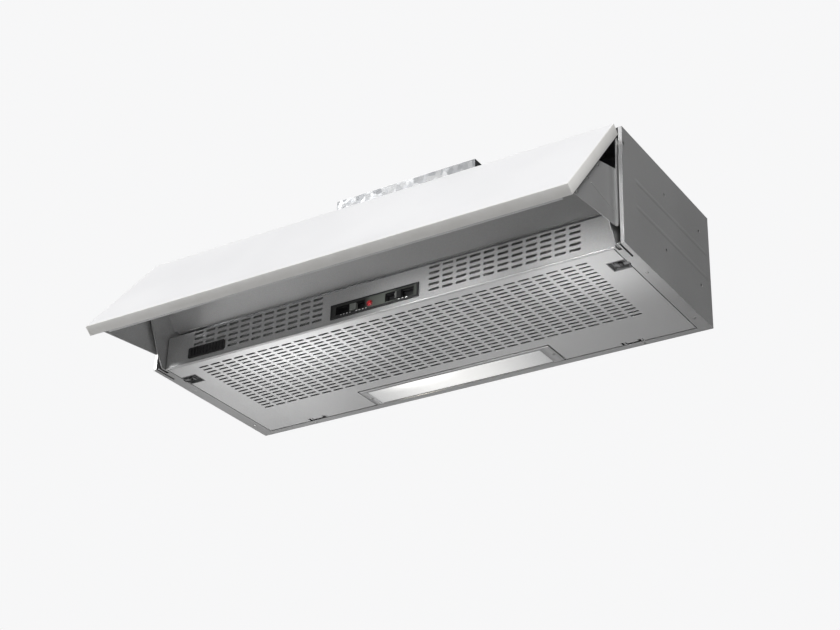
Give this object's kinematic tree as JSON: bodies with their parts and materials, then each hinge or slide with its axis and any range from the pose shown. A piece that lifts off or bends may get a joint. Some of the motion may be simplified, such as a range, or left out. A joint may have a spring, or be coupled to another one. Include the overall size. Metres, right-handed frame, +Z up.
{
  "type": "built-in range hood with pull-out front flap",
  "caption": "Built-in range hood: slotted canopy box with a tilting front flap carrying a white furniture panel, a drop-down filter grille, slide controls, lamp, fan and top duct spigot.",
  "frame": {"origin": "middle of the rear face's lower edge: on the wall plane, at the level of the underside", "axes": "+X to the right as seen from the front, +Y back into the wall, +Z up"},
  "size_m": [0.898, 0.4947, 0.3495],
  "materials": {
    "silver_paint": "satin metallic silver-grey paint",
    "galvanised_sheet": "zinc-coated sheet steel, dull",
    "white_board": "matte white lacquered furniture board",
    "screw_steel": "zinc-plated steel",
    "black_plastic": "fine-grained black plastic",
    "switch_plate": "dark grey-green plastic",
    "red_lens": "clear red plastic",
    "white_enamel": "white enamelled reflector",
    "lens_plastic": "clear, lightly frosted plastic",
    "ceramic_holder": "unglazed ceramic",
    "lamp_glass": "frosted lamp glass",
    "grey_plastic": "moulded grey plastic",
    "motor_metal": "dark varnished steel",
    "rubber": "soft black rubber",
    "capacitor_plastic": "pale moulded plastic",
    "terminal_plastic": "natural nylon",
    "cable_sleeve": "black sleeving",
    "dark_grey_plastic": "dark grey plastic",
    "filter_fleece": "dark grease-filter fleece",
    "knob_plastic": "mid-grey plastic",
    "impeller_plastic": "black glass-filled plastic",
    "aluminium_mesh": "layers of fine aluminium mesh"
  },
  "bodies": {
    "hood_body": {"side_wall_left": "silver_paint", "side_wall_right": "silver_paint", "rear_wall": "galvanised_sheet", "top_plate": "galvanised_sheet", "bottom_frame": "silver_paint", "front_slot_panel": "silver_paint", "front_mesh": "aluminium_mesh", "inner_side_left": "silver_paint", "inner_side_right": "silver_paint", "upper_front_wall": "galvanised_sheet", "frame_screws": "screw_steel", "flap_hinge_pins": "screw_steel", "arm_pivot_pins": "screw_steel", "grille_hinge_pins": "screw_steel", "control_bezel": "black_plastic", "control_plate": "switch_plate", "pilot_lens": "red_lens", "switch_bodies": "black_plastic", "trim_plate": "black_plastic", "lamp_tray": "white_enamel", "lamp_cover": "lens_plastic", "lamp_cover_screws": "screw_steel", "lamp_holder": "ceramic_holder", "lamp": "lamp_glass", "fan_box": "galvanised_sheet", "fan_box_screws": "screw_steel", "duct_spigot": "grey_plastic", "damper_pin": "screw_steel", "scroll_half_left": "grey_plastic", "scroll_half_right": "grey_plastic", "motor": "motor_metal", "motor_bracket": "galvanised_sheet", "motor_grommets": "rubber", "capacitor": "capacitor_plastic", "electrics_box": "galvanised_sheet", "electrics_cover": "galvanised_sheet", "terminal_block": "terminal_plastic", "cable_gland": "black_plastic", "wiring_loom": "cable_sleeve"},
    "flap": {"decor_panel": "white_board", "carrier_plate": "silver_paint", "cheek_left": "silver_paint", "cheek_right": "silver_paint", "panel_screws": "screw_steel"},
    "baffle": {"baffle_frame": "silver_paint", "glide_strip": "dark_grey_plastic"},
    "grille": {"filter_grille": "silver_paint", "filter_mat": "filter_fleece", "filter_wires": "screw_steel", "latch_housing_left": "dark_grey_plastic", "latch_housing_right": "dark_grey_plastic"},
    "latch_left": {"latch_slider_left": "dark_grey_plastic"},
    "latch_right": {"latch_slider_right": "dark_grey_plastic"},
    "speed_switch": {"speed_knob": "knob_plastic"},
    "light_switch": {"light_knob": "knob_plastic"},
    "fan": {"impeller": "impeller_plastic", "motor_shaft": "screw_steel"},
    "damper_front": {"damper_flap_front": "dark_grey_plastic"},
    "damper_rear": {"damper_flap_rear": "dark_grey_plastic"}
  },
  "joints": [
    {"name": "flap_tilt", "type": "hinge", "parent": "hood_body", "child": "flap", "pos_m": [0, -0.313, 0.176], "axis": [1, 0, 0], "range_deg": [0, 39]},
    {"name": "baffle_tilt", "type": "hinge", "parent": "hood_body", "child": "baffle", "pos_m": [0, -0.304, 0.008], "axis": [-1, 0, 0], "range_deg": [0, 29]},
    {"name": "grille_drop", "type": "hinge", "parent": "hood_body", "child": "grille", "pos_m": [0, -0.018, 0.005], "axis": [1, 0, 0], "range_deg": [0, 80]},
    {"name": "latch_slide_left", "type": "slide", "parent": "grille", "child": "latch_left", "axis": [1, 0, 0], "range_m": [0, 0.005], "stiffness_N_per_m": 300, "springref_m": -0.003},
    {"name": "latch_slide_right", "type": "slide", "parent": "grille", "child": "latch_right", "axis": [-1, 0, 0], "range_m": [0, 0.005], "stiffness_N_per_m": 300, "springref_m": -0.003},
    {"name": "speed_slide", "type": "slide", "parent": "hood_body", "child": "speed_switch", "axis": [1, 0, 0], "range_m": [-0.024, 0.013]},
    {"name": "light_slide", "type": "slide", "parent": "hood_body", "child": "light_switch", "axis": [1, 0, 0], "range_m": [-0.015, 0.019]},
    {"name": "fan_spin", "type": "hinge", "parent": "hood_body", "child": "fan", "pos_m": [0, -0.15, 0.15], "axis": [1, 0, 0], "continuous": true},
    {"name": "damper_front_swing", "type": "hinge", "parent": "hood_body", "child": "damper_front", "pos_m": [0, -0.088, 0.303], "axis": [-1, 0, 0], "range_deg": [0, 65]},
    {"name": "damper_rear_swing", "type": "hinge", "parent": "hood_body", "child": "damper_rear", "pos_m": [0, -0.088, 0.303], "axis": [1, 0, 0], "range_deg": [0, 65]}
  ],
  "couplings": [
    {"joint": "baffle_tilt", "follows": "flap_tilt", "ratio": 0.74}
  ]
}
